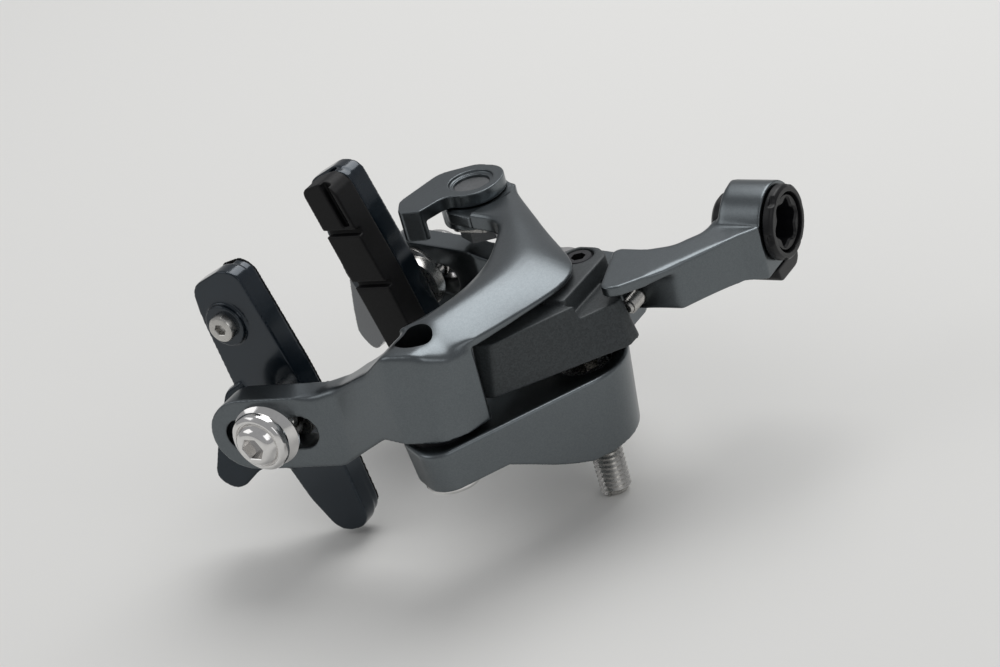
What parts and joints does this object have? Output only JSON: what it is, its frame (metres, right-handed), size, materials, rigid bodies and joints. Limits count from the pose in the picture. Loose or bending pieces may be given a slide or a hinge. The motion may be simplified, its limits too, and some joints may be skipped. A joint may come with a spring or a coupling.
{
  "type": "rim brake caliper",
  "caption": "Side-pull rim brake caliper with an arched arm, a cable arm with barrel adjuster, a V-shaped pivot bracket, cartridge brake shoes and a centre mounting bolt.",
  "frame": {"origin": "centre bolt axis where it meets the bracket's rear seat face", "axes": "+Z along the centre bolt to the front of the brake, +Y up and away from the wheel's hub, +X to the arm that carries the arch"},
  "size_m": [0.0754, 0.0993, 0.0569],
  "materials": {
    "gunmetal": "satin anodised, fine flake",
    "charcoal": "matt, fine grain",
    "holder_black": "glossy blue-black",
    "pad_rubber": "matt",
    "steel": "plain zinc-plated",
    "dark_steel": "blackened",
    "chrome_steel": "polished",
    "bush": "plain",
    "black_plastic": "satin"
  },
  "bodies": {
    "mount": {"bracket": "gunmetal", "mounting_bolt": "steel", "pivot_bolt_right": "chrome_steel", "pivot_bolt_left": "chrome_steel", "pivot_thrust_washers": "black_plastic", "pivot_clips": "steel"},
    "arch": {"arch_arm": "gunmetal", "arch_bush": "bush", "cable_anchor_bolt": "steel", "cable_clamp_plate": "steel"},
    "release": {"quick_release_lever": "gunmetal"},
    "cable_side": {"barrel_arm": "gunmetal", "barrel_bush": "bush", "roller_carrier": "charcoal", "roller_pin": "steel", "carrier_screw": "dark_steel", "centring_screw": "steel", "adjuster_detent": "black_plastic"},
    "roller": {"cam_roller": "steel"},
    "adjuster_tube": {"adjuster_barrel": "black_plastic"},
    "adjuster_ring": {"adjuster_knob": "black_plastic"},
    "right_shoe": {"right_shoe_holder": "holder_black", "right_brake_pad": "pad_rubber", "right_pad_screw": "steel", "right_shoe_bolt": "chrome_steel", "right_dome_washer_inner": "steel", "right_cup_washer": "steel", "right_dome_washer_outer": "chrome_steel"},
    "left_shoe": {"left_shoe_holder": "holder_black", "left_brake_pad": "pad_rubber", "left_pad_screw": "steel", "left_shoe_bolt": "chrome_steel", "left_dome_washer_inner": "steel", "left_cup_washer": "steel", "left_dome_washer_outer": "chrome_steel"}
  },
  "joints": [
    {"name": "arch_close", "type": "hinge", "parent": "mount", "child": "arch", "pos_m": [0.025, -0.016, 0], "axis": [0, 0, -1], "range_deg": [0, 12], "stiffness_Nm_per_rad": 0.5, "springref_deg": -17.19},
    {"name": "cable_side_close", "type": "hinge", "parent": "mount", "child": "cable_side", "pos_m": [-0.025, -0.016, 0], "axis": [0, 0, 1], "range_deg": [0, 12], "stiffness_Nm_per_rad": 0.5, "springref_deg": -17.19},
    {"name": "release_turn", "type": "hinge", "parent": "arch", "child": "release", "pos_m": [-0.029, -0.0345, 0.035], "axis": [0, 0, 1], "range_deg": [-100, 0]},
    {"name": "roller_spin", "type": "hinge", "parent": "cable_side", "child": "roller", "pos_m": [0, -0.0093, 0.0225], "axis": [0, 0, 1], "continuous": true},
    {"name": "adjuster_turn", "type": "hinge", "parent": "cable_side", "child": "adjuster_ring", "pos_m": [-0.031, 0.029, 0.0276], "axis": [0, 1, 0], "range_deg": [-756, 756]},
    {"name": "adjuster_feed", "type": "slide", "parent": "cable_side", "child": "adjuster_tube", "axis": [0, 1, 0], "range_m": [-0.002, 0.002]},
    {"name": "right_shoe_height", "type": "slide", "parent": "arch", "child": "right_shoe", "axis": [-0.1891, 0.982, 0], "range_m": [-0.0045, 0.006]},
    {"name": "left_shoe_height", "type": "slide", "parent": "cable_side", "child": "left_shoe", "axis": [0.1891, 0.982, 0], "range_m": [-0.0045, 0.004]}
  ],
  "couplings": [
    {"joint": "cable_side_close", "follows": "arch_close", "ratio": 1},
    {"joint": "adjuster_turn", "follows": "adjuster_feed", "rad_per_m": 6283.2}
  ]
}
